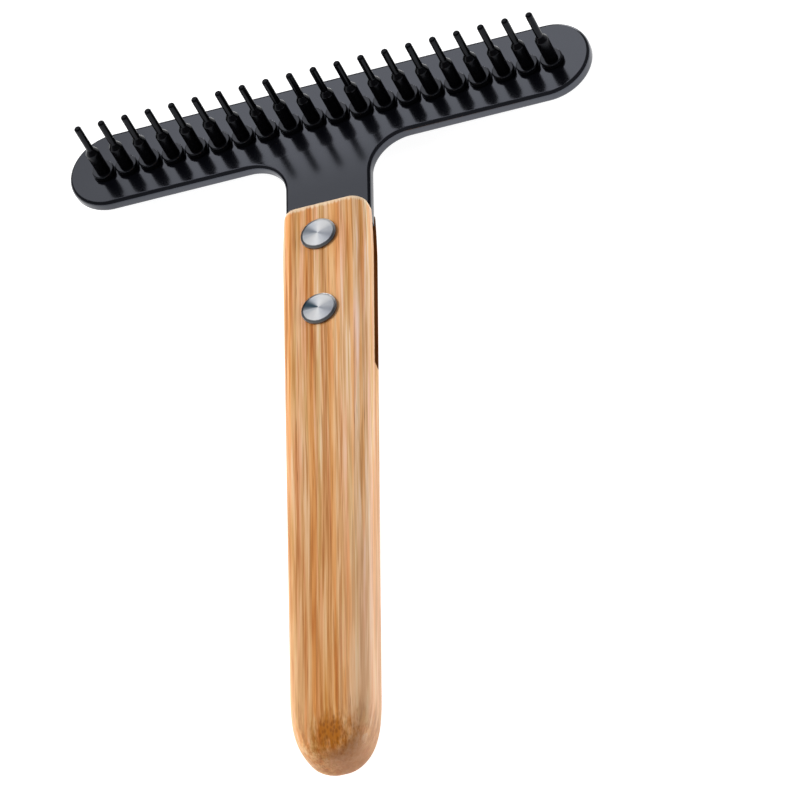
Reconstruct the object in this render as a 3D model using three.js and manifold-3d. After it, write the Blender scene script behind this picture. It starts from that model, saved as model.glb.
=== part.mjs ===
// Pet grooming rake: a T-shaped steel head with a row of turning pins, riveted into a slotted bamboo handle.
//
// Millimetres. +X runs along the head's bar, +Y from the handle to the head, and +Z is the way the pins point.
// The tool lies on its back. Inside the group, Y = 0 is the upper rivet's axis and Z = 0 is the middle of the
// plate's thickness. The group is then moved so that its origin is under the middle of the tool, at its lowest point.
import * as THREE from 'three';
import { mergeVertices } from 'three/addons/utils/BufferGeometryUtils.js';
import Module from 'manifold-3d';

// ---------- driving dimensions ----------

const PIN_COUNT = 20;
const PIN_PITCH = 5;
const PIN_ROW_OFFSET = -0.9; // from the bar's centre line, so towards the handle
const PIN_HEIGHT = 14.7; // above the plate's front face
const TIP_R = 0.72;
const TIP_LENGTH = 6.7; // the thin end, down to the shoulder
const SHANK_R = 1.38;
const SHOULDER = 1.2; // height of the sloping step between shank and thin end
const JOURNAL_R = 0.95;
const TAIL_R = 1.45;
const TAIL_HEIGHT = 0.5;

const COLLAR_R = 2.3;
const COLLAR_HEIGHT = 1.25;
const COLLAR_CHAMFER = 0.2;
const COLLAR_BORE_R = 1.05;
const SPIGOT_R = 1.65;
const SPIGOT_LENGTH = 2;

const PLATE_THICKNESS = 2.6;
const PLATE_EDGE = 0.8; // rounding all round both faces
const BAR_LENGTH = 110.4;
const BAR_WIDTH = 18.3;
const BAR_Y = 35.2; // centre line of the bar
const NECK_WIDTH = 17.9;
const NECK_FILLET = 8;
const NECK_END_Y = 5.3; // just inside the slot, where the neck steps in to the tang
const TANG_WIDTH = 13;
const TANG_END_Y = -28;
const TANG_CORNER = 3;

const HANDLE_X = 0.5; // the handle sits this far to the right of the rivets
const HANDLE_TOP_Y = 8.4;
const HANDLE_END_Y = -122.5;
const HANDLE_TOP_WIDTH = 18.1; // before the sides draw in at the top end
const HANDLE_END_WIDTH = 16.3; // where the domed end begins
const HANDLE_FRONT = 6.5; // height of the flat front
const HANDLE_BACK = -4.6; // height of the flat back
const FRONT_CORNER = 3.2; // radius along the two long edges of the front
const BACK_CORNER = 4.5;
const HANDLE_EDGE = 0.8; // rounding of the top end's rim
const TOP_TAPER = 0.44; // how far each side draws in at the top end
const TOP_TAPER_LENGTH = 12;
const TOP_TAPER_POWER = 1.5; // 1 is a straight taper, more starts it gently
const DOME_LENGTH = 18.4;
const DOME_FULLNESS = 3.1; // exponent of the dome's superellipse: 2 is an ellipse, more is squarer
const DOME_THINNING = 0.6; // the thickness shrinks as this power of the width, so it stays fuller
const DOME_ROUNDING = 0.9; // share of the half width that the corners can grow to at the tip
const DOME_ROUNDING_POWER = 1.5; // more keeps the corners small until nearer the tip
const SLOT_WIDTH = 2.7;
const SLOT_END_Y = -30.4;

const RIVET_SPACING = 18.7;
const RIVET_HEAD_R = 3.65;
const RIVET_HEAD_HEIGHT = 0.75;
const RIVET_RIM = 0.45; // height of the head's rim, below its low dome
const RIVET_SHOULDER_R = 2.9; // where the dome turns down to the rim
const RIVET_SHOULDER = 0.65; // height there
const RIVET_SHANK_R = 2;
const RIVET_PEG_R = 1.2;
const RIVET_PEG_LENGTH = 3.6;
const RIVET_BORE_DEPTH = 4; // of the back half, which takes the peg

const CLEARANCE = 0.05; // between pieces that touch or turn on each other
const PRESS_GAP = 0.05; // around pressed and riveted shanks

const ROUND_SEGMENTS = 12; // around pins and collars
const RIVET_SEGMENTS = 20;
const PLATE_ARC_SEGMENTS = 8;
const PLATE_EDGE_SEGMENTS = 2;
const CORNER_SEGMENTS = 5; // round each long edge of the handle
const DOME_RINGS = 8;
const BODY_RINGS = 5;
const TAPER_RINGS = 4;
const EDGE_RINGS = 3;
const MERGE_DISTANCE = 1e-5; // points nearer than this are one point

const BLACK_PLATE = { color: 0x2b2c30, roughness: 0.5, metalness: 0.3 };
const BLACK_PIN = { color: 0x121215, roughness: 0.38, metalness: 0.4 };
const BAMBOO = { color: 0xd9a36c, roughness: 0.6, metalness: 0 };
const STEEL = { color: 0xb8bcc2, roughness: 0.35, metalness: 1 };

// ---------- derived values ----------

const plateFront = PLATE_THICKNESS / 2;
const collarTop = plateFront + COLLAR_HEIGHT;
const spigotEnd = plateFront - SPIGOT_LENGTH;
const pinRowY = BAR_Y + PIN_ROW_OFFSET;
const handleThickness = HANDLE_FRONT - HANDLE_BACK;
const handleMiddle = (HANDLE_FRONT + HANDLE_BACK) / 2;
const postSeat = HANDLE_FRONT + CLEARANCE;
const capSeat = -HANDLE_BACK + CLEARANCE;
const cutterLength = 4 * HANDLE_TOP_WIDTH; // long enough to pass right through in any direction

const pinXs = Array.from({ length: PIN_COUNT }, (_, i) => (i - (PIN_COUNT - 1) / 2) * PIN_PITCH);
const rivetYs = [0, -RIVET_SPACING];

// ---------- solids and booleans ----------

const wasm = await Module();
wasm.setup();

function toSolid(geometry) {
  const bare = geometry.clone();
  bare.deleteAttribute('normal');
  bare.deleteAttribute('uv');
  const merged = mergeVertices(bare, MERGE_DISTANCE);
  return new wasm.Manifold(new wasm.Mesh({
    numProp: 3,
    vertProperties: new Float32Array(merged.attributes.position.array),
    triVerts: new Uint32Array(merged.index.array),
  }));
}

function toGeometry(solid) {
  const mesh = solid.getMesh();
  const geometry = new THREE.BufferGeometry();
  geometry.setAttribute('position', new THREE.BufferAttribute(new Float32Array(mesh.vertProperties), 3));
  geometry.setIndex(new THREE.BufferAttribute(new Uint32Array(mesh.triVerts), 1));
  geometry.computeVertexNormals();
  return geometry;
}

function cut(geometry, tools) {
  return toGeometry(tools.reduce((body, tool) => body.subtract(toSolid(tool)), toSolid(geometry)));
}

// A turned solid about +Z, from [radius, height] pairs listed from low to high.
function turned(profile, segments) {
  const points = profile.map(([radius, height]) => new THREE.Vector2(radius, height));
  return new THREE.LatheGeometry(points, segments).rotateX(Math.PI / 2);
}

// A drill through the whole tool along Z, with as many sides as the piece that goes in its hole.
function drill(radius, segments, x, y) {
  const cylinder = new THREE.CylinderGeometry(radius, radius, cutterLength, segments);
  return cylinder.rotateX(Math.PI / 2).translate(x, y, 0);
}

const rivetDrill = (y) => drill(RIVET_SHANK_R + PRESS_GAP, RIVET_SEGMENTS, 0, y);

// ---------- head plate ----------

function plateOutline() {
  const halfBar = BAR_WIDTH / 2;
  const endX = BAR_LENGTH / 2 - halfBar;
  const barLow = BAR_Y - halfBar;
  const neck = NECK_WIDTH / 2;
  const tang = TANG_WIDTH / 2;
  const shoulderY = NECK_END_Y - (neck - tang);
  const filletX = neck + NECK_FILLET;
  const filletY = barLow - NECK_FILLET;
  const quarter = Math.PI / 2;

  const outline = new THREE.Shape();
  outline.moveTo(-tang + TANG_CORNER, TANG_END_Y);
  outline.absarc(tang - TANG_CORNER, TANG_END_Y + TANG_CORNER, TANG_CORNER, -quarter, 0, false);
  outline.lineTo(tang, shoulderY);
  outline.lineTo(neck, NECK_END_Y);
  outline.absarc(filletX, filletY, NECK_FILLET, 2 * quarter, quarter, true);
  outline.absarc(endX, BAR_Y, halfBar, -quarter, quarter, false);
  outline.absarc(-endX, BAR_Y, halfBar, quarter, 3 * quarter, false);
  outline.absarc(-filletX, filletY, NECK_FILLET, quarter, 0, true);
  outline.lineTo(-neck, NECK_END_Y);
  outline.lineTo(-tang, shoulderY);
  outline.absarc(-tang + TANG_CORNER, TANG_END_Y + TANG_CORNER, TANG_CORNER, 2 * quarter, 3 * quarter, false);
  return outline;
}

function headPlate() {
  const depth = PLATE_THICKNESS - 2 * PLATE_EDGE;
  const slab = new THREE.ExtrudeGeometry(plateOutline(), {
    depth,
    curveSegments: PLATE_ARC_SEGMENTS,
    bevelThickness: PLATE_EDGE,
    bevelSize: PLATE_EDGE,
    bevelOffset: -PLATE_EDGE,
    bevelSegments: PLATE_EDGE_SEGMENTS,
  }).translate(0, 0, -depth / 2);
  const collarHoles = pinXs.map((x) => drill(SPIGOT_R + PRESS_GAP, ROUND_SEGMENTS, x, pinRowY));
  return cut(slab, [...collarHoles, ...rivetYs.map(rivetDrill)]);
}

// ---------- handle ----------

// Corner points of a rounded rectangle in X and Z, starting on +Z and going towards +X, as a lathe turns.
function roundedSection({ width, thickness, frontCorner, backCorner }) {
  const steps = CORNER_SEGMENTS;
  const corners = [[1, 1, frontCorner], [1, -1, backCorner], [-1, -1, backCorner], [-1, 1, frontCorner]];
  return corners.flatMap(([signX, signZ, corner], quadrant) => Array.from({ length: steps + 1 }, (_, step) => {
    const angle = (quadrant + step / steps) * Math.PI / 2;
    const middleX = signX * (width / 2 - corner);
    const middleZ = signZ * (thickness / 2 - corner);
    return [middleX + corner * Math.sin(angle), middleZ + corner * Math.cos(angle)];
  }));
}

// A station in the dome, which tapers to a point at scale 0.
function domeStation(y, scale) {
  const width = HANDLE_END_WIDTH * scale;
  const thickness = handleThickness * scale ** DOME_THINNING;
  const growth = DOME_ROUNDING * width / 2 * (1 - scale) ** DOME_ROUNDING_POWER;
  const most = DOME_ROUNDING * Math.min(width, thickness) / 2;
  const cornerFrom = (corner) => Math.min(corner * scale + growth, most);
  return { y, width, thickness, frontCorner: cornerFrom(FRONT_CORNER), backCorner: cornerFrom(BACK_CORNER) };
}

// A station in the body, drawn in by inset all round.
function bodyStation(y, inset) {
  const domeStart = HANDLE_END_Y + DOME_LENGTH;
  const along = (y - domeStart) / (HANDLE_TOP_Y - domeStart);
  const nearTop = Math.max(0, 1 - (HANDLE_TOP_Y - y) / TOP_TAPER_LENGTH);
  const taper = TOP_TAPER * nearTop ** TOP_TAPER_POWER;
  return {
    y,
    width: THREE.MathUtils.lerp(HANDLE_END_WIDTH, HANDLE_TOP_WIDTH, along) - 2 * (taper + inset),
    thickness: handleThickness - 2 * inset,
    frontCorner: FRONT_CORNER - inset,
    backCorner: BACK_CORNER - inset,
  };
}

// Stations along the handle from the dome's tip to the top end, with size and corner radii at each.
function handleStations() {
  const domeStart = HANDLE_END_Y + DOME_LENGTH;
  const taperStart = HANDLE_TOP_Y - TOP_TAPER_LENGTH;
  const bodyTop = HANDLE_TOP_Y - HANDLE_EDGE;
  const stations = [];
  for (let ring = 0; ring < DOME_RINGS; ring++) {
    const angle = (1 - ring / DOME_RINGS) * Math.PI / 2;
    const drop = DOME_LENGTH * Math.sin(angle) ** (2 / DOME_FULLNESS);
    stations.push(domeStation(domeStart - drop, Math.cos(angle) ** (2 / DOME_FULLNESS)));
  }
  for (let ring = 0; ring < BODY_RINGS; ring++) {
    stations.push(bodyStation(THREE.MathUtils.lerp(domeStart, taperStart, ring / BODY_RINGS), 0));
  }
  for (let ring = 0; ring <= TAPER_RINGS; ring++) {
    stations.push(bodyStation(THREE.MathUtils.lerp(taperStart, bodyTop, ring / TAPER_RINGS), 0));
  }
  for (let ring = 1; ring <= EDGE_RINGS; ring++) {
    const angle = ring / EDGE_RINGS * Math.PI / 2;
    stations.push(bodyStation(bodyTop + HANDLE_EDGE * Math.sin(angle), HANDLE_EDGE * (1 - Math.cos(angle))));
  }
  stations.push({ y: HANDLE_TOP_Y, width: 0, thickness: 0, frontCorner: 0, backCorner: 0 });
  return stations;
}

// A lathe about the handle's length, with each ring pulled out to the rounded rectangle of its station.
function handleBlank() {
  const stations = handleStations();
  const sections = stations.map(roundedSection);
  const sides = sections[0].length;
  const profile = stations.map(({ y, width }) => new THREE.Vector2(width / 2, y));
  const blank = new THREE.LatheGeometry(profile, sides);
  const position = blank.attributes.position;
  for (let side = 0; side <= sides; side++) {
    stations.forEach(({ y }, ring) => {
      const [x, z] = sections[ring][side % sides];
      position.setXYZ(side * stations.length + ring, x, y, z);
    });
  }
  return blank.translate(HANDLE_X, 0, handleMiddle);
}

function handle() {
  const slot = new THREE.BoxGeometry(2 * HANDLE_TOP_WIDTH, cutterLength, SLOT_WIDTH);
  slot.translate(0, SLOT_END_Y + cutterLength / 2, 0);
  return cut(handleBlank(), [slot, ...rivetYs.map(rivetDrill)]);
}

// ---------- rivets ----------

function rivetHead(seat) {
  return [
    [RIVET_HEAD_R, seat],
    [RIVET_HEAD_R, seat + RIVET_RIM],
    [RIVET_SHOULDER_R, seat + RIVET_SHOULDER],
    [0, seat + RIVET_HEAD_HEIGHT],
  ];
}

// The front half: peg, shank and head, from low to high.
function rivetPost() {
  return turned([
    [0, -RIVET_PEG_LENGTH],
    [RIVET_PEG_R, -RIVET_PEG_LENGTH],
    [RIVET_PEG_R, CLEARANCE],
    [RIVET_SHANK_R, CLEARANCE],
    [RIVET_SHANK_R, postSeat],
    ...rivetHead(postSeat),
  ], RIVET_SEGMENTS);
}

// The back half: a tube that takes the peg, and a head. It is drawn head up and then turned over.
function rivetCap() {
  const boreR = RIVET_PEG_R + 2 * PRESS_GAP;
  return turned([
    [0, RIVET_BORE_DEPTH],
    [boreR, RIVET_BORE_DEPTH],
    [boreR, CLEARANCE],
    [RIVET_SHANK_R, CLEARANCE],
    [RIVET_SHANK_R, capSeat],
    ...rivetHead(capSeat),
  ], RIVET_SEGMENTS).rotateX(Math.PI);
}

// ---------- collars and pins ----------

function collar() {
  return turned([
    [COLLAR_BORE_R, spigotEnd],
    [SPIGOT_R, spigotEnd],
    [SPIGOT_R, plateFront + CLEARANCE],
    [COLLAR_R, plateFront + CLEARANCE],
    [COLLAR_R, collarTop - COLLAR_CHAMFER],
    [COLLAR_R - COLLAR_CHAMFER, collarTop],
    [COLLAR_BORE_R, collarTop],
    [COLLAR_BORE_R, spigotEnd],
  ], ROUND_SEGMENTS);
}

function pin() {
  const top = plateFront + PIN_HEIGHT;
  const shoulderTop = top - TIP_LENGTH;
  const tailTop = spigotEnd - CLEARANCE;
  const roundR = TIP_R * Math.SQRT1_2;
  return turned([
    [0, tailTop - TAIL_HEIGHT],
    [TAIL_R, tailTop - TAIL_HEIGHT],
    [TAIL_R, tailTop],
    [JOURNAL_R, tailTop],
    [JOURNAL_R, collarTop + CLEARANCE],
    [SHANK_R, collarTop + CLEARANCE],
    [SHANK_R, shoulderTop - SHOULDER],
    [(SHANK_R + TIP_R) / 2, shoulderTop - SHOULDER / 4],
    [TIP_R, shoulderTop],
    [TIP_R, top - TIP_R],
    [roundR, top - TIP_R + roundR],
    [0, top],
  ], ROUND_SEGMENTS);
}

// ---------- assembly ----------

const tool = new THREE.Group();

function add(name, geometry, finish, x = 0, y = 0) {
  const mesh = new THREE.Mesh(geometry, new THREE.MeshStandardMaterial(finish));
  mesh.name = name;
  mesh.position.set(x, y, 0);
  tool.add(mesh);
}

add('head_plate', headPlate(), BLACK_PLATE);
add('handle', handle(), BAMBOO);
rivetYs.forEach((y, i) => {
  const place = ['upper', 'lower'][i];
  add(`${place}_rivet_post`, rivetPost(), STEEL, 0, y);
  add(`${place}_rivet_cap`, rivetCap(), STEEL, 0, y);
});
pinXs.forEach((x, i) => {
  const number = String(i + 1).padStart(2, '0');
  add(`collar_${number}`, collar(), BLACK_PIN, x, pinRowY);
  add(`pin_${number}`, pin(), BLACK_PIN, x, pinRowY);
});

const middleY = (BAR_Y + BAR_WIDTH / 2 + HANDLE_END_Y) / 2;
tool.position.set(0, -middleY, capSeat + RIVET_HEAD_HEIGHT);

export default tool;
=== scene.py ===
import math

import bmesh
import bpy
from mathutils import Matrix, Vector


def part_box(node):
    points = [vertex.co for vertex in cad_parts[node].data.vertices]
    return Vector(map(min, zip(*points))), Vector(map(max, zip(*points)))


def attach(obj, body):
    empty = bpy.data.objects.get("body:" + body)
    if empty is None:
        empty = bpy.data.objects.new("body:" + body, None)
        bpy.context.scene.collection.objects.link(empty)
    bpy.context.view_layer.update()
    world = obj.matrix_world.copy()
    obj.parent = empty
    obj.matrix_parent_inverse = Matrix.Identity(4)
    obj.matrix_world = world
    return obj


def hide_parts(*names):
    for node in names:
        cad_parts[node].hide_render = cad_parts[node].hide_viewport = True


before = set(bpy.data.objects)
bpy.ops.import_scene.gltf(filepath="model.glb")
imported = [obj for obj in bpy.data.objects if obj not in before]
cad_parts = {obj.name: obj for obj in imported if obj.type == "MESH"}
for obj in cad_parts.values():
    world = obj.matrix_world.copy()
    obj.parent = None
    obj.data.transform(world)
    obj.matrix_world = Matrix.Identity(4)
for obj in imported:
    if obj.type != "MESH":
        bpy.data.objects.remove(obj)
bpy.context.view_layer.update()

# Looks for the grooming rake. Lengths are in millimetres until in_frame() turns them into metres in the
# frame. Inside the tool, y = 0 is the upper rivet's axis and z = 0 is the middle of the plate's thickness.
# The front is the side that the pins point to, +z.

MM = 0.001

# ---------- dimensions, as in the CAD model ----------

PIN_HEIGHT = 14.7  # above the plate's front face
TIP_R = 0.72
TIP_LENGTH = 6.7  # the thin end, down to the shoulder
SHANK_R = 1.38
SHOULDER = 1.2  # height of the sloping step between shank and thin end
JOURNAL_R = 0.95
TAIL_R = 1.45
TAIL_HEIGHT = 0.5

COLLAR_R = 2.3
COLLAR_HEIGHT = 1.25
COLLAR_BORE_R = 1.05
SPIGOT_R = 1.65
SPIGOT_LENGTH = 2.0

PLATE_THICKNESS = 2.6
PLATE_EDGE = 0.8  # rounding all round both faces
BAR_WIDTH = 18.3
NECK_WIDTH = 17.9
NECK_FILLET = 8.0
NECK_END_Y = 5.3  # just inside the slot, where the neck steps in to the tang
TANG_WIDTH = 13.0
TANG_END_Y = -28.0
TANG_CORNER = 3.0

HANDLE_TOP_WIDTH = 18.1  # before the sides draw in at the top end
HANDLE_END_WIDTH = 16.3  # where the domed end begins
FRONT_CORNER = 3.2  # radius along the two long edges of the front
BACK_CORNER = 4.5
HANDLE_EDGE = 0.8  # rounding of the top end's rim
TOP_TAPER = 0.44  # how far each side draws in at the top end
TOP_TAPER_LENGTH = 12.0
TOP_TAPER_POWER = 1.5  # 1 is a straight taper, more starts it gently
DOME_LENGTH = 18.4
DOME_FULLNESS = 3.1  # exponent of the dome's superellipse: 2 is an ellipse, more is squarer
DOME_THINNING = 0.6  # the thickness shrinks as this power of the width, so it stays fuller
DOME_ROUNDING = 0.9  # share of the half width that the corners can grow to at the tip
DOME_ROUNDING_POWER = 1.5  # more keeps the corners small until nearer the tip
SLOT_WIDTH = 2.7
SLOT_END_Y = -30.4

RIVET_HEAD_R = 3.65
RIVET_HEAD_HEIGHT = 0.75
RIVET_RIM = 0.45  # height of the head's rim, below its low dome
RIVET_SHANK_R = 2.0
CLEARANCE = 0.05  # between pieces that touch or turn on each other

# ---------- finer shape, that only the looks need ----------

TAIL_ROUND = 0.2
SHANK_FOOT_ROUND = 0.15
SHOULDER_FOOT_ROUND = 0.6
SHOULDER_TOP_ROUND = 0.5
TIP_ROUND = 0.9 * TIP_R

COLLAR_FOOT_ROUND = 0.08
COLLAR_RIM_ROUND = 0.25
COLLAR_BORE_ROUND = 0.1

RIVET_SHANK_START = 0.6  # height of the shank's flat end
RIVET_FOOT = 0.12  # chamfer under the head
RIVET_RIM_ROUND = 0.2
RIVET_CROWN = ((0.86, 0.66, 0.8), (0.5, 0.735, 2.0))  # share of the head's radius, height and fillet

SLOT_EDGE = 0.2  # bevel along the slot's edges
SLOT_EDGE_SEGMENTS = 3

TURNED_SEGMENTS = 40
RIVET_SEGMENTS = 64
FILLET_STEPS = 6
FILLET_REACH = 0.49  # the share of a profile's side that one fillet can take
HOLE_STEPS = 32
TANG_CORNER_STEPS = 10
NECK_FILLET_STEPS = 24
BAR_END_STEPS = 48
PLATE_EDGE_RINGS = 4
CORNER_STEPS = 9  # round each long edge of the handle
DOME_RINGS = 26
BODY_RINGS = 16  # from the dome to the slot's end, and again from there to the top
EDGE_RINGS = 6

SHARP_DEG = 35
HANDLE_SHARP_DEG = 50
FACE_WEIGHT = 100  # how far large faces set the normals of their corners
TINY = 1e-6

# ---------- places, from the frame ----------


def middle(node):
    low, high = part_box(node)
    return (low + high) / 2


plate_low, plate_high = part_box("head_plate")
handle_low, handle_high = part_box("handle")
ORIGIN = Vector((0, middle("upper_rivet_post").y, (plate_low.z + plate_high.z) / 2))
BAR_LENGTH = (plate_high.x - plate_low.x) / MM
BAR_Y = (plate_high.y - ORIGIN.y) / MM - BAR_WIDTH / 2
HANDLE_X = middle("handle").x / MM
HANDLE_TOP_Y = (handle_high.y - ORIGIN.y) / MM
HANDLE_END_Y = (handle_low.y - ORIGIN.y) / MM
HANDLE_FRONT = (handle_high.z - ORIGIN.z) / MM
HANDLE_BACK = (handle_low.z - ORIGIN.z) / MM
HANDLE_MIDDLE = (HANDLE_FRONT + HANDLE_BACK) / 2
HANDLE_HALF = (HANDLE_FRONT - HANDLE_BACK) / 2
PINS = sorted(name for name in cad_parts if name.startswith("pin_"))
COLLARS = sorted(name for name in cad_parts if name.startswith("collar_"))
RIVETS = ("upper_rivet", "lower_rivet")
ROOT = "tool"

PLATE_FRONT = PLATE_THICKNESS / 2
COLLAR_TOP = PLATE_FRONT + COLLAR_HEIGHT
SPIGOT_END = PLATE_FRONT - SPIGOT_LENGTH


# ---------- meshes ----------


def in_frame(x, y, z):
    return Vector((x * MM, y * MM, z * MM)) + ORIGIN


def make_object(name, data):
    made = bpy.data.objects.new(name, data)
    bpy.context.scene.collection.objects.link(made)
    return made


def finish_mesh(bm, name, sharp_deg=SHARP_DEG):
    bmesh.ops.recalc_face_normals(bm, faces=bm.faces)
    mesh = bpy.data.meshes.new(name)
    bm.to_mesh(mesh)
    bm.free()
    mesh.shade_smooth()
    mesh.set_sharp_from_angle(angle=math.radians(sharp_deg))
    return mesh


def even_normals(made):
    """Flat faces stay flat beside a narrow rounding."""
    weighted = made.modifiers.new("even_normals", "WEIGHTED_NORMAL")
    weighted.keep_sharp = True
    weighted.weight = FACE_WEIGHT


def filleted(points):
    """A profile of (radius, height, fillet) with each corner rounded by its fillet."""
    out = []
    for i, (r, z, fillet) in enumerate(points):
        here = Vector((r, z))
        if fillet == 0 or i == 0 or i == len(points) - 1:
            out.append(here)
            continue
        before = Vector(points[i - 1][:2]) - here
        after = Vector(points[i + 1][:2]) - here
        half = before.angle(after) / 2
        reach = min(fillet / math.tan(half), before.length * FILLET_REACH, after.length * FILLET_REACH)
        bisector = (before.normalized() + after.normalized()).normalized()
        centre = here + bisector * (reach / math.cos(half))
        start = here + before.normalized() * reach - centre
        end = here + after.normalized() * reach - centre
        turn = start.angle_signed(end)
        for k in range(FILLET_STEPS + 1):
            out.append(centre + Matrix.Rotation(-turn * k / FILLET_STEPS, 2) @ start)
    return out


def turned(name, profile, segments=TURNED_SEGMENTS, closed=False):
    """A turned mesh about z from (radius, height) points; closed joins the last point to the first."""
    bm = bmesh.new()
    rings = []
    for radius, height in profile:
        if radius < TINY:
            rings.append([bm.verts.new((0, 0, height * MM))] * segments)
            continue
        ring = []
        for k in range(segments):
            angle = 2 * math.pi * k / segments
            x = radius * MM * math.cos(angle)
            y = radius * MM * math.sin(angle)
            ring.append(bm.verts.new((x, y, height * MM)))
        rings.append(ring)
    next_rings = rings[1:] + rings[:1] if closed else rings[1:]
    for low, high in zip(rings, next_rings):
        for k in range(segments):
            corners = [low[k], low[(k + 1) % segments], high[(k + 1) % segments], high[k]]
            unique = list(dict.fromkeys(corners))
            if len(unique) > 2:
                bm.faces.new(unique)
    return finish_mesh(bm, name)


# ---------- head plate ----------


def arc(cx, cy, radius, start_deg, end_deg, steps):
    angles = [math.radians(start_deg + (end_deg - start_deg) * k / steps) for k in range(steps + 1)]
    return [(cx + radius * math.cos(a), cy + radius * math.sin(a)) for a in angles]


def plate_outline():
    """The right half from the tang's end up to the middle of the bar's top, then its mirror image."""
    half = BAR_WIDTH / 2
    end_x = BAR_LENGTH / 2 - half
    neck = NECK_WIDTH / 2
    tang = TANG_WIDTH / 2
    step_y = NECK_END_Y - (neck - tang)
    fillet_x = neck + NECK_FILLET
    fillet_y = BAR_Y - half - NECK_FILLET
    corner_y = TANG_END_Y + TANG_CORNER
    right = arc(tang - TANG_CORNER, corner_y, TANG_CORNER, -90, 0, TANG_CORNER_STEPS)
    right += [(tang, step_y), (neck, NECK_END_Y)]
    right += arc(fillet_x, fillet_y, NECK_FILLET, 180, 90, NECK_FILLET_STEPS)
    right += arc(end_x, BAR_Y, half, -90, 90, BAR_END_STEPS)
    return right + [(-x, y) for x, y in reversed(right)]


def collar_hole(name):
    at = middle(name)
    hole = arc(at.x / MM, (at.y - ORIGIN.y) / MM, SPIGOT_R + CLEARANCE, 360, 0, HOLE_STEPS)
    return hole[:-1]


def head_plate():
    """The outline and its holes as a flat curve, which extrusion and bevel make into a rounded plate."""
    curve = bpy.data.curves.new("plate_curve", "CURVE")
    curve.dimensions = "2D"
    curve.fill_mode = "BOTH"
    curve.extrude = (PLATE_THICKNESS / 2 - PLATE_EDGE) * MM
    curve.bevel_depth = PLATE_EDGE * MM
    curve.bevel_resolution = PLATE_EDGE_RINGS
    curve.offset = -PLATE_EDGE * MM
    for loop in [plate_outline()] + [collar_hole(name) for name in COLLARS]:
        spline = curve.splines.new("POLY")
        spline.points.add(len(loop) - 1)
        for point, (x, y) in zip(spline.points, loop):
            at = in_frame(x, y, 0)
            point.co = (at.x, at.y, 0, 1)
        spline.use_cyclic_u = True
    drawn = make_object("plate_curve", curve)
    bpy.context.view_layer.update()
    depsgraph = bpy.context.evaluated_depsgraph_get()
    mesh = bpy.data.meshes.new_from_object(drawn.evaluated_get(depsgraph))
    bpy.data.objects.remove(drawn)
    bm = bmesh.new()
    bm.from_mesh(mesh)
    bpy.data.meshes.remove(mesh)
    bmesh.ops.remove_doubles(bm, verts=bm.verts, dist=TINY)
    bmesh.ops.translate(bm, verts=bm.verts, vec=(0, 0, ORIGIN.z))
    plate = make_object("black_plate", finish_mesh(bm, "black_plate"))
    even_normals(plate)
    return plate


# ---------- handle ----------


def cheek_section(half_width, half_thickness, corner, slot):
    """One cheek of the handle in (x, height above the handle's middle), from the slot's edge at +x over the
    face to the slot's edge at -x. slot is the height where the slot's wall, or the seam below it, starts."""
    centre = half_thickness - corner
    start = 0.0
    right = []
    if slot < centre:
        right.append((half_width, slot))
    else:
        start = math.asin((slot - centre) / corner)
    for k in range(CORNER_STEPS + 1):
        angle = start + (math.pi / 2 - start) * k / CORNER_STEPS
        right.append((half_width - corner + corner * math.cos(angle), centre + corner * math.sin(angle)))
    return right + [(-x, z) for x, z in reversed(right)]


def dome_stations(dome_start):
    stations = []
    power = 2 / DOME_FULLNESS
    for k in range(1, DOME_RINGS):
        angle = (1 - k / DOME_RINGS) * math.pi / 2
        y = dome_start - DOME_LENGTH * math.sin(angle) ** power
        scale = math.cos(angle) ** power
        half_width = HANDLE_END_WIDTH / 2 * scale
        half_thickness = HANDLE_HALF * scale ** DOME_THINNING
        most = DOME_ROUNDING * min(half_width, half_thickness)
        growth = DOME_ROUNDING * half_width * (1 - scale) ** DOME_ROUNDING_POWER
        corners = [min(corner * scale + growth, most) for corner in (FRONT_CORNER, BACK_CORNER)]
        stations.append((y, half_width, half_thickness, *corners))
    return stations


def handle_stations():
    """(y, half width, half thickness, front corner, back corner) from the dome's tip to the top end."""
    dome_start = HANDLE_END_Y + DOME_LENGTH
    body_top = HANDLE_TOP_Y - HANDLE_EDGE

    def half_width_at(y):
        along = (y - dome_start) / (body_top - dome_start)
        taper = max(0, 1 - (HANDLE_TOP_Y - y) / TOP_TAPER_LENGTH) ** TOP_TAPER_POWER
        return (HANDLE_END_WIDTH + (HANDLE_TOP_WIDTH - HANDLE_END_WIDTH) * along) / 2 - TOP_TAPER * taper

    stations = dome_stations(dome_start)
    ys = [dome_start + (SLOT_END_Y - dome_start) * k / BODY_RINGS for k in range(BODY_RINGS + 1)]
    ys += [SLOT_END_Y + (body_top - SLOT_END_Y) * k / BODY_RINGS for k in range(1, BODY_RINGS + 1)]
    stations += [(y, half_width_at(y), HANDLE_HALF, FRONT_CORNER, BACK_CORNER) for y in ys]
    for k in range(1, EDGE_RINGS + 1):
        angle = k / EDGE_RINGS * math.pi / 2
        inset = HANDLE_EDGE * (1 - math.cos(angle))
        y = body_top + HANDLE_EDGE * math.sin(angle)
        sizes = (half_width_at(y), HANDLE_HALF, FRONT_CORNER, BACK_CORNER)
        stations.append((y, *(size - inset for size in sizes)))
    return stations


def handle_rings(bm):
    """For each station its y, its front cheek's vertices and its back cheek's."""
    rings = []
    for y, half_width, half_thickness, *corners in handle_stations():
        ring = [y]
        for side, corner in zip((1, -1), corners):
            slot = (SLOT_WIDTH / 2 - side * HANDLE_MIDDLE) * min(half_thickness / HANDLE_HALF, 1)
            section = cheek_section(half_width, half_thickness, corner, slot)
            spots = [in_frame(HANDLE_X + x, y, HANDLE_MIDDLE + side * z) for x, z in section]
            ring.append([bm.verts.new(spot) for spot in spots])
        rings.append(ring)
    return rings


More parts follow.
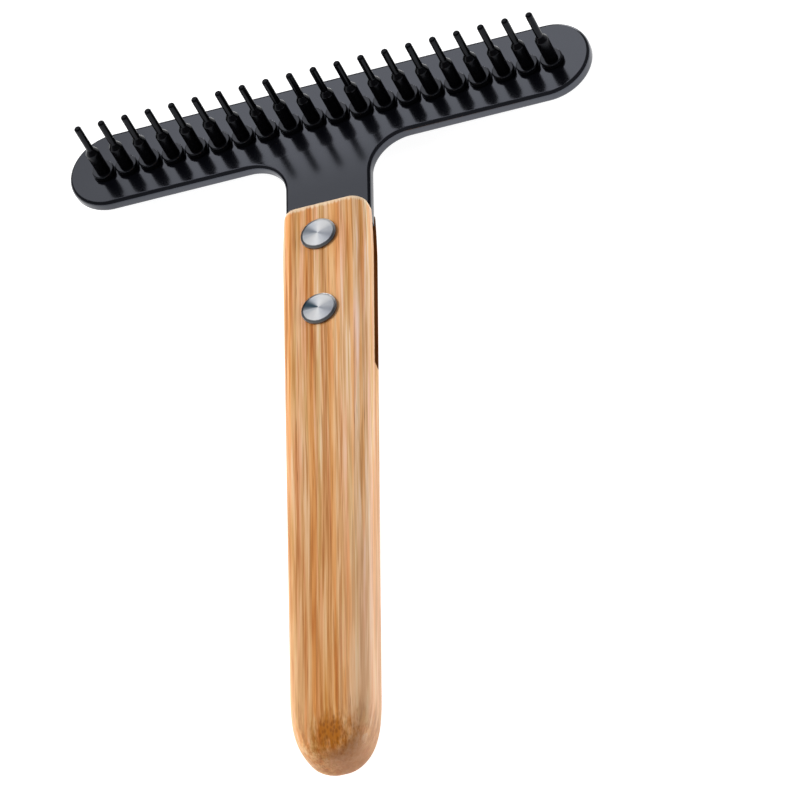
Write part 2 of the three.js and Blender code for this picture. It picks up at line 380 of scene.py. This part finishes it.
def handle():
    """Two cheeks, joined below the slot's end and apart above it."""
    bm = bmesh.new()
    tip = bm.verts.new(in_frame(HANDLE_X, HANDLE_END_Y, HANDLE_MIDDLE))
    rings = handle_rings(bm)
    _, first_front, first_back = rings[0]
    first = first_front + first_back[::-1]
    for k, vert in enumerate(first):
        bm.faces.new((vert, first[(k + 1) % len(first)], tip))
    slot_edges = []
    for (y, front, back), (_, next_front, next_back) in zip(rings, rings[1:]):
        cheeks = ((front, next_front), (back, next_back))
        for row, next_row in cheeks:
            for k in range(len(row) - 1):
                bm.faces.new((row[k], row[k + 1], next_row[k + 1], next_row[k]))
        if y < SLOT_END_Y - TINY:
            for end in (0, -1):
                bm.faces.new((front[end], back[end], next_back[end], next_front[end]))
        else:
            for row, next_row in cheeks:
                bm.faces.new((row[0], row[-1], next_row[-1], next_row[0]))
                slot_edges += [(row[0], next_row[0]), (row[-1], next_row[-1])]
        if abs(y - SLOT_END_Y) < TINY:
            bm.faces.new((front[0], front[-1], back[-1], back[0]))
            slot_edges += [(front[0], back[0]), (front[-1], back[-1])]
    for row in rings[-1][1:]:
        bm.faces.new(row)
        slot_edges.append((row[0], row[-1]))
    weight = bm.edges.layers.float.new("bevel_weight_edge")
    for a, b in slot_edges:
        bm.edges.get((a, b))[weight] = 1
    made = make_object("bamboo_handle", finish_mesh(bm, "bamboo_handle", HANDLE_SHARP_DEG))
    bevel = made.modifiers.new("slot_edges", "BEVEL")
    bevel.limit_method = "WEIGHT"
    bevel.width = SLOT_EDGE * MM
    bevel.segments = SLOT_EDGE_SEGMENTS
    even_normals(made)
    return made


# ---------- rivets, collars and pins ----------


def rivet_head(name, seat):
    """A rivet half, drawn head up, whose head sits at height seat."""
    crown = [(RIVET_HEAD_R * share, seat + height, fillet) for share, height, fillet in RIVET_CROWN]
    profile = filleted([
        (0, RIVET_SHANK_START, 0),
        (RIVET_SHANK_R, RIVET_SHANK_START, 0),
        (RIVET_SHANK_R, seat, 0),
        (RIVET_HEAD_R - RIVET_FOOT, seat, 0),
        (RIVET_HEAD_R, seat + RIVET_FOOT, 0),
        (RIVET_HEAD_R, seat + RIVET_RIM, RIVET_RIM_ROUND),
        *crown,
        (0, seat + RIVET_HEAD_HEIGHT, 0),
    ])
    return turned(name, profile, RIVET_SEGMENTS)


def collar_mesh():
    """A bush: a flange on the plate and a spigot in it. The profile closes on itself, so that turned() joins
    its last point to its first."""
    profile = filleted([
        (COLLAR_BORE_R, SPIGOT_END, 0),
        (SPIGOT_R, SPIGOT_END, 0),
        (SPIGOT_R, PLATE_FRONT + CLEARANCE, 0),
        (COLLAR_R, PLATE_FRONT + CLEARANCE, COLLAR_FOOT_ROUND),
        (COLLAR_R, COLLAR_TOP, COLLAR_RIM_ROUND),
        (COLLAR_BORE_R, COLLAR_TOP, COLLAR_BORE_ROUND),
        (COLLAR_BORE_R, SPIGOT_END, 0),
    ])
    return turned("collar", profile[:-1], closed=True)


def pin_mesh():
    top = PLATE_FRONT + PIN_HEIGHT
    shoulder_top = top - TIP_LENGTH
    tail_top = SPIGOT_END - CLEARANCE
    profile = filleted([
        (0, tail_top - TAIL_HEIGHT, 0),
        (TAIL_R, tail_top - TAIL_HEIGHT, TAIL_ROUND),
        (TAIL_R, tail_top, 0),
        (JOURNAL_R, tail_top, 0),
        (JOURNAL_R, COLLAR_TOP + CLEARANCE, 0),
        (SHANK_R, COLLAR_TOP + CLEARANCE, SHANK_FOOT_ROUND),
        (SHANK_R, shoulder_top - SHOULDER, SHOULDER_FOOT_ROUND),
        (TIP_R, shoulder_top, SHOULDER_TOP_ROUND),
        (TIP_R, top, TIP_ROUND),
        (0, top, 0),
    ])
    return turned("pin", profile)


# ---------- material graphs ----------


def srgb(r, g, b):
    """A linear colour from 8-bit sRGB levels."""
    return tuple((v / 255 / 12.92) if v <= 10 else ((v / 255 + 0.055) / 1.055) ** 2.4 for v in (r, g, b))


class Graph:
    """A material's nodes. position is the place on the object, in millimetres in the object's own axes."""

    def __init__(self, name):
        self.material = bpy.data.materials.new(name)
        self.material.use_nodes = True
        self.tree = self.material.node_tree
        self.shader = self.tree.nodes["Principled BSDF"]
        place = self.add("ShaderNodeTexCoord")
        self.normal = place.outputs["Normal"]
        self.position = self.add("ShaderNodeVectorMath", {0: place.outputs["Object"], "Scale": 1 / MM},
                                 operation="SCALE").outputs[0]

    def add(self, kind, inputs=None, **settings):
        made = self.tree.nodes.new(kind)
        for key, value in settings.items():
            setattr(made, key, value)
        for key, value in (inputs or {}).items():
            self.put(made.inputs[key], value)
        return made

    def put(self, socket, value):
        if isinstance(value, bpy.types.NodeSocket):
            self.tree.links.new(value, socket)
        else:
            socket.default_value = value

    def set(self, **values):
        for key, value in values.items():
            self.put(self.shader.inputs[key.replace("_", " ")], value)

    def math(self, operation, a, b=0.0, c=0.0):
        return self.add("ShaderNodeMath", {0: a, 1: b, 2: c}, operation=operation).outputs[0]

    def product(self, first, *others):
        for other in others:
            first = self.math("MULTIPLY", first, other)
        return first

    def inverse(self, value):
        """1 where value is 0, 0 where it is 1."""
        return self.math("SUBTRACT", 1.0, value)

    def distance(self, a, b):
        return self.math("ABSOLUTE", self.math("SUBTRACT", a, b))

    def weighted(self, *pairs):
        """The sum of each value times its weight."""
        total = 0.0
        for value, weight in pairs:
            total = self.math("MULTIPLY_ADD", value, weight, total)
        return total

    def wavering(self, value, noise, amount):
        """value, moved up and down by amount times a 0..1 noise about its middle."""
        return self.math("MULTIPLY_ADD", self.math("SUBTRACT", noise, 0.5), amount, value)

    def vector_math(self, operation, a, b):
        return self.add("ShaderNodeVectorMath", {0: a, 1: b}, operation=operation).outputs[0]

    def scaled(self, vector, x, y, z):
        return self.vector_math("MULTIPLY", vector, (x, y, z))

    def length(self, vector):
        return self.add("ShaderNodeVectorMath", {0: vector}, operation="LENGTH").outputs["Value"]

    def split(self, vector):
        """A vector's x, y and z."""
        return self.add("ShaderNodeSeparateXYZ", {0: vector}).outputs

    def along_x(self, value):
        return self.add("ShaderNodeCombineXYZ", {0: value}).outputs[0]

    def noise(self, vector, scale=1.0, detail=2.0, roughness=0.5):
        inputs = {"Vector": vector, "Scale": scale, "Detail": detail, "Roughness": roughness}
        return self.add("ShaderNodeTexNoise", inputs).outputs["Fac"]

    def cells(self, vector):
        """The distance to the middle of the nearest cell in a pattern of cells."""
        inputs = {"Vector": vector, "Scale": 1.0}
        return self.add("ShaderNodeTexVoronoi", inputs, feature="F1").outputs["Distance"]

    def band(self, value, low, high):
        """0 below low, 1 above high."""
        return self.add("ShaderNodeMapRange", {0: value, 1: low, 2: high, 3: 0.0, 4: 1.0},
                        interpolation_type="SMOOTHSTEP").outputs[0]

    def fade(self, value, low, high):
        """1 below low, 0 above high."""
        return self.inverse(self.band(value, low, high))

    def range(self, value, low, high):
        """value from 0..1 to low..high."""
        return self.add("ShaderNodeMapRange", {0: value, 1: 0.0, 2: 1.0, 3: low, 4: high}).outputs[0]

    def ramp(self, value, stops):
        """A colour from a list of (value, 8-bit sRGB levels)."""
        made = self.add("ShaderNodeValToRGB", {0: value})
        elements = made.color_ramp.elements
        while len(elements) < len(stops):
            elements.new(0.5)
        for element, (at, levels) in zip(elements, stops):
            element.position = at
            element.color = (*srgb(*levels), 1)
        return made.outputs[0]

    def mix(self, factor, a, b, blend="MIX"):
        made = self.add("ShaderNodeMix", data_type="RGBA", blend_type=blend)
        sockets = [s for s in made.inputs if s.enabled]
        for socket, value in zip(sockets, (factor, a, b)):
            if not isinstance(value, (bpy.types.NodeSocket, float, int)):
                value = (*value, 1)
            self.put(socket, value)
        return next(s for s in made.outputs if s.enabled)

    def painted(self, colour, levels, amount):
        """colour, under amount of a coat of 8-bit sRGB levels."""
        return self.mix(amount, colour, srgb(*levels))

    def tinted(self, colour, factors, amount=1.0):
        """colour, multiplied by factors where amount is 1."""
        return self.mix(amount, colour, self.mix(1.0, colour, factors, "MULTIPLY"))

    def bump(self, height, distance_mm, strength):
        inputs = {"Height": height, "Distance": distance_mm * MM, "Strength": strength}
        return self.add("ShaderNodeBump", inputs).outputs[0]


# ---------- bamboo ----------

# The board's colour by the sum of its streaks, from dark to pale.
BOARD_WEIGHTS = {"streaks": 0.28, "bands": 0.34, "fibres": 0.18, "broad": 0.20}
BOARD_RAMP = (
    (0.14, (178, 108, 56)),
    (0.32, (208, 144, 90)),
    (0.48, (226, 170, 118)),
    (0.62, (238, 188, 144)),
    (0.85, (248, 212, 180)),
)

# Occasional streaks of another tint: how fast each pattern changes across and along the grain, its shift,
# the part of it that shows, and the factors on the board's colour.
STREAK_TINTS = (
    (0.9, 0.030, 83.0, (0.58, 0.98), (1.03, 0.93, 0.97)),
    (0.7, 0.020, 113.0, (0.58, 0.95), (0.93, 0.96, 0.84)),
    (0.8, 0.012, 151.0, (0.62, 0.90), (1.00, 0.82, 0.58)),
)

DARK_LINE_COLOUR = (184, 114, 52)
DOME_LEFT_LIGHT_COLOUR = (240, 188, 142)
RIGHT_SIDE_LIGHT_COLOUR = (222, 172, 134)
TOP_RIM_HIGHLIGHT_COLOUR = (255, 234, 204)
TOP_END_COLOUR = (214, 166, 116)
DOME_END_GRAIN_SHADE_COLOUR = (172, 122, 88)
STAIN_COLOUR = (172, 98, 2)
MARK_COLOUR = (120, 64, 16)

STAIN_PLACE = (0.9, 4.6, -0.8)  # from the handle's middle line, its domed tip and its front
STAIN_STRETCH = (0.86, 1.0, 0.9)  # a factor under 1 makes it longer that way
STAIN_RAGGEDNESS = 8.0
STAIN_REACH = (1.0, 5.4)  # solid out to the first distance, gone at the second
STREAK_CONTRAST = (0.30, 0.70)  # the part of the noise that a streak spreads over 0..1
STREAK_ROUGHNESS = 0.55
SLOT_SKIN = 0.02  # how far outside the slot its colour begins


def frame_y(y):
    """A place y along the tool, in the frame's millimetres."""
    return ORIGIN.y / MM + y


def swaying_place(g):
    """The position, moved slowly from side to side along the handle, so that no streak is ruler straight."""
    sway = g.noise(g.scaled(g.position, 0.05, 0.010, 0.05), 1.0, 1.0)
    return g.vector_math("ADD", g.position, g.along_x(g.product(sway, 2.0)))


def streak(g, place, across, along, shift=0.0, detail=2.0):
    """0..1, changing about across times a millimetre over the grain and along times a millimetre with it."""
    moved = g.vector_math("ADD", place, (shift, shift, shift))
    pattern = g.noise(g.scaled(moved, across, along, across), 1.0, detail, STREAK_ROUGHNESS)
    return g.band(pattern, *STREAK_CONTRAST)


def board_colour(g, place, streaks, fibres):
    patterns = {
        "streaks": streaks,
        "bands": streak(g, place, 0.75, 0.022),
        "fibres": fibres,
        "broad": streak(g, place, 0.16, 0.012, 11.0),
    }
    tone = g.weighted(*((patterns[name], weight) for name, weight in BOARD_WEIGHTS.items()))
    colour = g.ramp(tone, BOARD_RAMP)
    for across, along, shift, shown, factors in STREAK_TINTS:
        colour = g.tinted(colour, factors, g.band(streak(g, place, across, along, shift, 1.0), *shown))
    dark_line = g.band(streak(g, place, 1.5, 0.030, 197.0, 1.0), 0.80, 0.98)
    return g.painted(colour, DARK_LINE_COLOUR, g.product(dark_line, 0.55))


def board_zones(g, colour, across, y):
    """The board's slow changes: deeper in the lower middle; painted light on its right side, its left edge
    and the dome's left; painted shade on the dome's right.
    across is from the handle's middle line, to the right."""
    dome_tip = frame_y(HANDLE_END_Y)
    to_left = g.product(across, -1.0)
    centre = g.fade(g.math("ABSOLUTE", across), 1.5, 7.5)
    lower = g.fade(y, dome_tip + 8, dome_tip + 85)
    colour = g.tinted(colour, (0.90, 0.76, 0.54), g.product(lower, g.range(centre, 0.35, 1.0)))

    left = g.band(to_left, 1.5, 8.0)
    colour = g.tinted(colour, (0.98, 0.90, 0.80), g.product(left, g.inverse(lower)))
    # Painted light: the dome's left is made paler, as if lit from the left.
    dome_left_light = g.product(left, g.fade(y, dome_tip + 10, dome_tip + 40))
    colour = g.tinted(colour, (1.12, 1.22, 1.30), dome_left_light)
    colour = g.painted(colour, DOME_LEFT_LIGHT_COLOUR, g.product(dome_left_light, 0.5))

    # Painted light: the lower right side is made paler and even, as if lit from the right.
    right_side_light = g.product(g.band(across, 2.5, 6.0), lower)
    colour = g.painted(colour, RIGHT_SIDE_LIGHT_COLOUR, g.product(right_side_light, 0.45))
    # Painted shade: the dome's right is made darker.
    dome_right_shade = g.product(g.band(across, 2.0, 7.0), g.fade(y, dome_tip + 5, dome_tip + 14))
    colour = g.tinted(colour, (0.80, 0.76, 0.72), dome_right_shade)

    # Painted light: the left edge is made lighter.
    colour = g.tinted(colour, (1.12, 1.08, 1.04), g.band(to_left, 5.5, 9.0))
    # Painted light: the right side is made lighter.
    colour = g.tinted(colour, (1.08, 1.17, 1.34), g.band(across, 2.0, 8.0))
    return g.tinted(colour, (0.93, 0.98, 0.98))


def slot_shade(g, colour, y, z):
    """Painted shade inside the slot."""
    inside = g.math("LESS_THAN", g.distance(z, ORIGIN.z / MM), SLOT_WIDTH / 2 + SLOT_SKIN)
    above_end = g.math("GREATER_THAN", y, frame_y(SLOT_END_Y) - SLOT_SKIN)
    return g.tinted(colour, (0.45, 0.30, 0.15), g.product(inside, above_end))


def top_colour(g, colour, streaks, y, top_end):
    """A painted highlight round the top end's rim, and the end grain inside it."""
    top = frame_y(HANDLE_TOP_Y)
    rim_highlight = g.band(g.wavering(y, streaks, 0.5), top - 1.5, top - 0.7)
    colour = g.painted(colour, TOP_RIM_HIGHLIGHT_COLOUR, g.product(rim_highlight, 0.65))
    return g.painted(colour, TOP_END_COLOUR, g.product(top_end, 0.7))


def dome_stain(g, place, across):
    """A ragged patch on the front of the dome."""
    right, up, out = STAIN_PLACE
    at = (HANDLE_X + right, frame_y(HANDLE_END_Y) + up, ORIGIN.z / MM + HANDLE_FRONT + out)
    offset = g.vector_math("SUBTRACT", g.position, at)
    ragged = g.noise(g.scaled(place, 1.1, 0.16, 1.1), 1.0, 3.0, 0.7)
    reach = g.wavering(g.length(g.scaled(offset, *STAIN_STRETCH)), ragged, STAIN_RAGGEDNESS)
    return g.product(g.fade(reach, *STAIN_REACH), g.band(across, -5.5, -2.5))


def fibre_marks(g, place, stain, top_end):
    """Dark fibre ends: sparse dashes along the board, and dots in the stain and on the top end."""
    bundles = g.fade(g.cells(g.scaled(place, 2.6, 0.10, 2.6)), 0.08, 0.24)
    sparse = g.band(g.noise(g.scaled(place, 0.7, 0.02, 0.7), 1.0, 1.0), 0.50, 0.68)
    dots = g.fade(g.cells(g.scaled(place, 1.7, 0.9, 1.7)), 0.20, 0.66)
    board = g.product(bundles, sparse, 0.45)
    ends = g.math("MAXIMUM", g.product(dots, stain, 0.60), g.product(dots, top_end, 0.55))
    return g.math("MAXIMUM", board, ends)


def bamboo():
    g = Graph("bamboo")
    x, y, z = g.split(g.position)
    across = g.math("SUBTRACT", x, HANDLE_X)
    place = swaying_place(g)
    streaks = streak(g, place, 2.2, 0.040, 31.0)
    fibres = streak(g, place, 6.0, 0.09, 57.0)
    up = g.split(g.normal)[1]
    top_end = g.band(up, 0.75, 0.98)
    # The dome's end grain where it faces down the handle, darker towards the right: real end grain with
    # painted shade laid on it.
    dome_end_grain_shade = g.band(g.product(up, -1.0), 0.30, 0.70)
    dome_end_grain_shade = g.product(dome_end_grain_shade, g.range(g.band(across, -5.0, 2.0), 0.10, 1.0))
    stain = dome_stain(g, place, across)
    marks = fibre_marks(g, place, stain, top_end)

    colour = board_colour(g, place, streaks, fibres)
    colour = board_zones(g, colour, across, y)
    # painted shade inside the slot
    colour = slot_shade(g, colour, y, z)
    colour = top_colour(g, colour, streaks, y, top_end)
    colour = g.painted(colour, DOME_END_GRAIN_SHADE_COLOUR, g.product(dome_end_grain_shade, 0.75))
    colour = g.painted(colour, STAIN_COLOUR, g.product(stain, 0.85))
    colour = g.painted(colour, MARK_COLOUR, marks)

    relief = g.weighted((fibres, 0.4), (streaks, 0.6))
    relief = g.math("SUBTRACT", relief, g.product(marks, 0.5))
    g.set(Base_Color=colour, Roughness=g.range(streaks, 0.42, 0.60), Normal=g.bump(relief, 0.03, 0.8),
          Coat_Weight=0.04, Coat_Roughness=0.35, Specular_IOR_Level=0.2)
    return g.material


# ---------- black coating, steel and floor ----------

COAT_TINT = (0.80, 0.85, 1.0, 1.0)  # a cool gloss
ROW_NEAR = (20, 4)  # a polished coat's gloss rises between these distances from the pin row
ROW_SHINE = 1.6
ROW_ROUGHNESS = 0.80
LEFT_END_SHINE = 0.65

STEEL_DULL = (184, 190, 200)
STEEL_CLEAN = (216, 218, 222)
STEEL_HIGHLIGHT = (255, 255, 255)
STEEL_REFLECTION_SHADE = (104, 110, 126)
STEEL_DARK_REFLECTION = (58, 76, 88)
STEEL_SIDE_SHADE = (52, 50, 52)
DARK_REFLECTION_TURN = math.radians(152)  # where the painted dark reflection wedge on a rivet head is, from +x
UPPER_REFLECTION_WEDGE = 0.35  # the painted dark reflection wedge's strength on the upper rivet; the lower one has all of it

FLOOR_GREYS = (0.42, 0.45)
FLOOR_GLOW = 0.93  # keeps the floor pale under soft light


def black_coat(name, colour, roughness, shine, grain_mm, relief_mm, polished=False):
    """Black coating with a fine uneven surface whose grains are grain_mm wide. A polished one is shinier near
    the pins and duller at the bar's left end."""
    g = Graph(name)
    if polished:
        x, y, _ = g.split(g.position)
        row_y = middle(PINS[0]).y / MM
        far, close = ROW_NEAR
        near_row = g.band(y, row_y - far, row_y - close)
        left_end = g.range(g.band(x, -BAR_LENGTH / 2, -BAR_LENGTH / 5), LEFT_END_SHINE, 1.0)
        shine = g.product(g.range(near_row, 1.0, ROW_SHINE), left_end, shine)
        roughness = g.product(g.range(near_row, 1.0, ROW_ROUGHNESS), roughness)
    grain = g.noise(g.position, 1 / grain_mm, 2.0, 0.6)
    cloud = g.noise(g.position, 0.12, 2.0)
    darker, lighter = (tuple(level * factor for level in colour) for factor in (0.85, 1.15))
    uneven = g.math("MULTIPLY_ADD", cloud, 0.3, g.range(grain, 0.6, 1.0))
    g.set(Base_Color=g.mix(cloud, darker, lighter), Roughness=g.product(uneven, roughness),
          Normal=g.bump(grain, relief_mm, 0.6), Specular_IOR_Level=shine, Specular_Tint=COAT_TINT)
    return g.material


def spun_steel():
    """A head spun on a lathe with fine rings. Its colour holds painted reflections: a painted highlight band
    and a painted shade band across its middle, a dark wedge of painted reflection at one end of the shade
    band, which is fainter on the upper rivet, and painted shade on its side wall."""
    g = Graph("spun_steel")
    x, y, _ = g.split(g.position)
    radius = g.math("SQRT", g.math("ADD", g.math("POWER", x, 2.0), g.math("POWER", y, 2.0)))
    wobble = g.math("MULTIPLY_ADD", g.noise(g.position, 0.5, 1.0), 0.3, radius)
    rings = g.noise(g.along_x(wobble), 9.0, 2.0, 0.7)
    smear = g.noise(g.position, 0.8, 2.0)
    side = g.fade(g.math("ABSOLUTE", g.split(g.normal)[2]), 0.15, 0.60)

    turn = g.math("SUBTRACT", g.math("ARCTAN2", y, x), DARK_REFLECTION_TURN)
    off_band = g.math("ABSOLUTE", g.math("SINE", turn))
    dark_reflection_wedge = g.fade(g.math("ABSOLUTE", turn), 0.05, 0.75)
    rivet_y = g.split(g.add("ShaderNodeObjectInfo").outputs["Location"])[1]
    which = g.band(rivet_y, middle("lower_rivet_post").y, middle("upper_rivet_post").y)

    face = g.mix(smear, srgb(*STEEL_DULL), srgb(*STEEL_CLEAN))
    # Painted highlight and painted shade bands across the face, and a dark wedge of painted reflection.
    face = g.painted(face, STEEL_HIGHLIGHT, g.product(g.band(off_band, 0.6, 1.0), 0.6))
    face = g.painted(face, STEEL_REFLECTION_SHADE, g.product(g.fade(off_band, 0.0, 0.65), 0.55))
    face = g.painted(face, STEEL_DARK_REFLECTION, g.product(dark_reflection_wedge, g.range(which, 1.0, UPPER_REFLECTION_WEDGE)))
    tangent = g.add("ShaderNodeTangent", direction_type="RADIAL", axis="Z").outputs[0]
    # Painted shade on the head's side wall.
    g.set(Base_Color=g.painted(face, STEEL_SIDE_SHADE, g.product(side, 0.85)), Metallic=1.0,
          Roughness=g.range(rings, 0.24, 0.38), Anisotropic=0.95, Tangent=tangent,
          Normal=g.bump(rings, 0.01, 0.6))
    return g.material


def pale_floor():
    g = Graph("pale_floor")
    darker, lighter = ((grey, grey, grey) for grey in FLOOR_GREYS)
    g.set(Base_Color=g.mix(g.noise(g.position, 0.02, 2.0), darker, lighter), Roughness=0.9,
          Emission_Color=(1, 1, 1, 1), Emission_Strength=FLOOR_GLOW)
    return g.material


BAMBOO = bamboo()
PLATE_BLACK = black_coat("satin_black", (0.0020, 0.0021, 0.0035), 0.185, 0.74, 0.22, 0.002, polished=True)
PIN_BLACK = black_coat("gloss_black", (0.0015, 0.0015, 0.002), 0.22, 0.15, 0.30, 0.003)
COLLAR_BLACK = black_coat("collar_black", (0.0015, 0.0015, 0.002), 0.16, 0.60, 0.30, 0.002)
STEEL = spun_steel()


def dress(made, material):
    made.data.materials.clear()
    made.data.materials.append(material)


# ---------- the tool ----------


def install(made, material, body, slot, *nodes):
    dress(made, material)
    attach(made, body)
    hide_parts(*nodes)


def placed(name, mesh, node):
    """A piece turned about z, standing on its CAD node's axis."""
    made = make_object(name, mesh)
    at = middle(node)
    made.location = (at.x, at.y, ORIGIN.z)
    return made


install(head_plate(), PLATE_BLACK, ROOT, "black_plate", "head_plate")
install(handle(), BAMBOO, ROOT, "bamboo", "handle")

for rivet in RIVETS:
    for side, half, seat in (("front", "post", HANDLE_FRONT), ("back", "cap", -HANDLE_BACK)):
        name = f"{rivet}_{side}"
        mesh = rivet_head(name, seat + CLEARANCE)
        if side == "back":
            mesh.transform(Matrix.Rotation(math.pi, 4, "X"))
        head = placed(name, mesh, f"{rivet}_{half}")
        install(head, STEEL, ROOT, "rivet_steel", f"{rivet}_{half}")

shared_collar = collar_mesh()
for node in COLLARS:
    install(placed(f"{node}_turned", shared_collar, node), COLLAR_BLACK, ROOT, "black_pins", node)

shared_pin = pin_mesh()
for node in PINS:
    install(placed(f"{node}_turned", shared_pin, node), PIN_BLACK, node, "black_pins", node)

# ---------- floor, lights and camera, in metres ----------

FLOOR_SIZE = 6.0
FLOOR_CELLS = 8
FLOOR_DROP = 0.0001  # keeps it just clear of the tool's lowest face
WORLD_STRENGTH = 0.12

CAMERA_AZIMUTH = math.radians(22.82)
CAMERA_ELEVATION = math.radians(48.03)
CAMERA_ROLL = math.radians(-30.73)
CAMERA_DISTANCE = 1.2
CAMERA_LENS = 282.2
CAMERA_SENSOR = 36
CAMERA_CLIP = (0.05, 20)
AIM_OFFSET = Vector((13.3, -38.975, -1.3)) * MM  # from ORIGIN


def floor():
    bm = bmesh.new()
    bmesh.ops.create_grid(bm, x_segments=FLOOR_CELLS, y_segments=FLOOR_CELLS, size=FLOOR_SIZE / 2)
    bmesh.ops.translate(bm, verts=bm.verts, vec=(0, 0, -FLOOR_DROP))
    made = make_object("floor", finish_mesh(bm, "floor"))
    dress(made, pale_floor())


def area_light(name, direction, distance, width, height, power, mirrored=True):
    """A light in a direction from the origin. One that is not mirrored doesn't show in shiny surfaces."""
    light = bpy.data.lights.new(name, "AREA")
    light.shape = "RECTANGLE"
    light.size = width
    light.size_y = height
    light.energy = power
    made = make_object(name, light)
    toward = Vector(direction).normalized()
    made.location = toward * distance
    made.rotation_mode = "QUATERNION"
    made.rotation_quaternion = toward.to_track_quat("Z", "Y")
    made.visible_glossy = mirrored


def studio_world():
    world = bpy.data.worlds.new("studio")
    world.use_nodes = True
    background = world.node_tree.nodes["Background"]
    background.inputs["Color"].default_value = (1, 1, 1, 1)
    background.inputs["Strength"].default_value = WORLD_STRENGTH
    bpy.context.scene.world = world
    bpy.context.scene.view_settings.view_transform = "Standard"


def camera():
    aim = ORIGIN + AIM_OFFSET
    back = Vector((math.sin(CAMERA_AZIMUTH) * math.cos(CAMERA_ELEVATION),
                   -math.cos(CAMERA_AZIMUTH) * math.cos(CAMERA_ELEVATION),
                   math.sin(CAMERA_ELEVATION)))
    level = Vector((0, 0, 1)).cross(back).normalized()
    right = Matrix.Rotation(CAMERA_ROLL, 3, back) @ level
    up = back.cross(right)
    data = bpy.data.cameras.new("camera")
    data.lens = CAMERA_LENS
    data.sensor_width = CAMERA_SENSOR
    data.clip_start, data.clip_end = CAMERA_CLIP
    made = make_object("camera", data)
    facing = Matrix((right, up, back)).transposed().to_4x4()
    made.matrix_world = Matrix.Translation(aim + back * CAMERA_DISTANCE) @ facing
    bpy.context.scene.camera = made


floor()
area_light("key", (-0.65, 0.16, 0.74), 1.3, 0.5, 0.5, 11.6, mirrored=False)
area_light("mirror_box", (-0.26, 0.64, 0.72), 1.7, 1.25, 1.15, 4.8)
area_light("right_box", (0.95, 0.05, 0.26), 1.1, 0.25, 0.42, 5, mirrored=False)
area_light("left_box", (-0.85, -0.35, 0.38), 1.2, 0.5, 0.8, 3.8, mirrored=False)
area_light("back_strip", (0.08, 0.96, 0.24), 1.2, 0.30, 0.10, 0.8)
studio_world()
camera()
